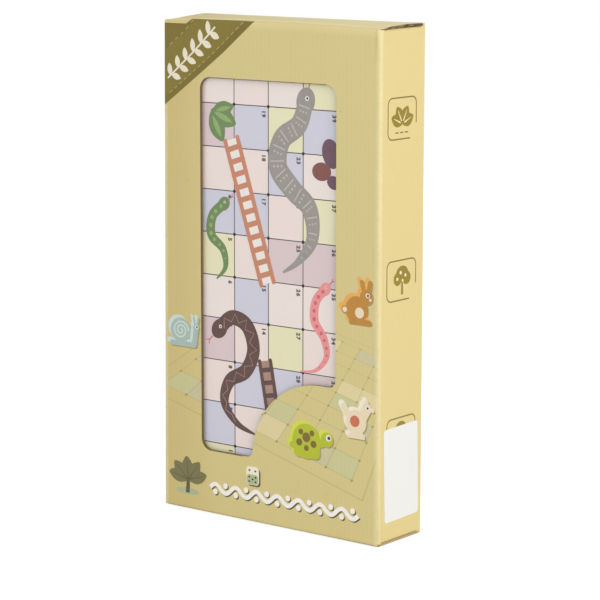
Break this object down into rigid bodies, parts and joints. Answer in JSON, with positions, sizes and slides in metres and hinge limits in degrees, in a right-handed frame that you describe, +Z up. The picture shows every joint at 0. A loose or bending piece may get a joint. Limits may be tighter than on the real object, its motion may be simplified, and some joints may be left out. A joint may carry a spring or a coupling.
{
  "type": "boxed snakes and ladders board",
  "caption": "Folding wooden snakes and ladders board case in a tuck-end corrugated carton with a window, with tokens, a die and a leaflet inside.",
  "frame": {"origin": "middle of the carton's foot, where it stands", "axes": "+Z up along the carton's height, -Y out of the printed front with the window, +X to the right side with the label"},
  "size_m": [0.1655, 0.044, 0.3064],
  "materials": {
    "carton_print": "uncoated printed corrugated board, matt",
    "carton_kraft": "bare brown corrugated board",
    "label_paper": "smooth white label",
    "board_print": "printed sheet, satin lacquer",
    "plywood": "plain birch plywood",
    "rail_wood": "sanded light wood",
    "brass": "polished brass",
    "lime_wood": "painted wood, satin",
    "russet_wood": "painted wood, satin",
    "blue_wood": "painted wood, satin",
    "cream_wood": "painted wood, satin",
    "die_wood": "sanded light wood, dark pips",
    "leaflet_paper": "folded white paper"
  },
  "bodies": {
    "carton_and_board": {"front_panel": "carton_print", "right_panel": "carton_print", "back_panel": "carton_print", "left_panel": "carton_print", "glue_flap": "carton_kraft", "blank_label": "label_paper", "front_board_print": "board_print", "front_board_panel": "plywood", "front_top_rail": "rail_wood", "front_bottom_rail": "rail_wood", "front_hinge_rail": "rail_wood", "front_clasp_rail": "rail_wood", "back_board_print": "board_print", "back_board_panel": "plywood", "back_top_rail": "rail_wood", "back_bottom_rail": "rail_wood", "back_hinge_rail": "rail_wood", "back_clasp_rail": "rail_wood", "upper_hinge_front_leaf": "brass", "upper_hinge_back_leaf": "brass", "upper_hinge_pin": "brass", "lower_hinge_front_leaf": "brass", "lower_hinge_back_leaf": "brass", "lower_hinge_pin": "brass", "front_leaf_screws": "brass", "back_leaf_screws": "brass", "clasp_pivot_screw": "brass", "clasp_stud": "brass", "turtle_token": "lime_wood", "rabbit_token": "russet_wood", "snail_token": "blue_wood", "hen_token": "cream_wood", "wooden_die": "die_wood", "rules_leaflet": "leaflet_paper"},
    "top_lid": {"top_lid": "carton_print"},
    "top_tongue": {"top_tongue": "carton_print"},
    "top_dust_flap_left": {"top_dust_flap_left": "carton_kraft"},
    "top_dust_flap_right": {"top_dust_flap_right": "carton_kraft"},
    "bottom_lid": {"bottom_lid": "carton_print"},
    "bottom_tongue": {"bottom_tongue": "carton_print"},
    "bottom_dust_flap_left": {"bottom_dust_flap_left": "carton_kraft"},
    "bottom_dust_flap_right": {"bottom_dust_flap_right": "carton_kraft"},
    "clasp_hook": {"clasp_hook": "brass"}
  },
  "joints": [
    {"name": "top_lid_hinge", "type": "hinge", "parent": "carton_and_board", "child": "top_lid", "pos_m": [0, -0.02, 0.3064], "axis": [1, 0, 0], "range_deg": [0, 170]},
    {"name": "top_tongue_crease", "type": "hinge", "parent": "top_lid", "child": "top_tongue", "pos_m": [0, 0.0198, 0.3044], "axis": [1, 0, 0], "range_deg": [0, 25.5]},
    {"name": "top_dust_crease_right", "type": "hinge", "parent": "carton_and_board", "child": "top_dust_flap_right", "pos_m": [0.0807, 0, 0.3048], "axis": [0, 1, 0], "range_deg": [0, 85]},
    {"name": "top_dust_crease_left", "type": "hinge", "parent": "carton_and_board", "child": "top_dust_flap_left", "pos_m": [-0.0807, 0, 0.3048], "axis": [0, -1, 0], "range_deg": [0, 85]},
    {"name": "bottom_lid_hinge", "type": "hinge", "parent": "carton_and_board", "child": "bottom_lid", "pos_m": [0, -0.02, 0], "axis": [-1, 0, 0], "range_deg": [0, 170]},
    {"name": "bottom_tongue_crease", "type": "hinge", "parent": "bottom_lid", "child": "bottom_tongue", "pos_m": [0, 0.0198, 0.002], "axis": [-1, 0, 0], "range_deg": [0, 25.5]},
    {"name": "bottom_dust_crease_right", "type": "hinge", "parent": "carton_and_board", "child": "bottom_dust_flap_right", "pos_m": [0.0807, 0, 0.0016], "axis": [0, -1, 0], "range_deg": [0, 85]},
    {"name": "bottom_dust_crease_left", "type": "hinge", "parent": "carton_and_board", "child": "bottom_dust_flap_left", "pos_m": [-0.0807, 0, 0.0016], "axis": [0, 1, 0], "range_deg": [0, 85]},
    {"name": "clasp_hook_pivot", "type": "hinge", "parent": "carton_and_board", "child": "clasp_hook", "pos_m": [-0.0735, 0.0066, 0.1532], "axis": [-1, 0, 0], "range_deg": [0, 90]}
  ],
  "couplings": [
    {"joint": "top_tongue_crease", "follows": "top_lid_hinge", "ratio": 0.15},
    {"joint": "top_dust_crease_right", "follows": "top_lid_hinge", "ratio": 0.5},
    {"joint": "top_dust_crease_left", "follows": "top_lid_hinge", "ratio": 0.5},
    {"joint": "bottom_tongue_crease", "follows": "bottom_lid_hinge", "ratio": 0.15},
    {"joint": "bottom_dust_crease_right", "follows": "bottom_lid_hinge", "ratio": 0.5},
    {"joint": "bottom_dust_crease_left", "follows": "bottom_lid_hinge", "ratio": 0.5}
  ]
}
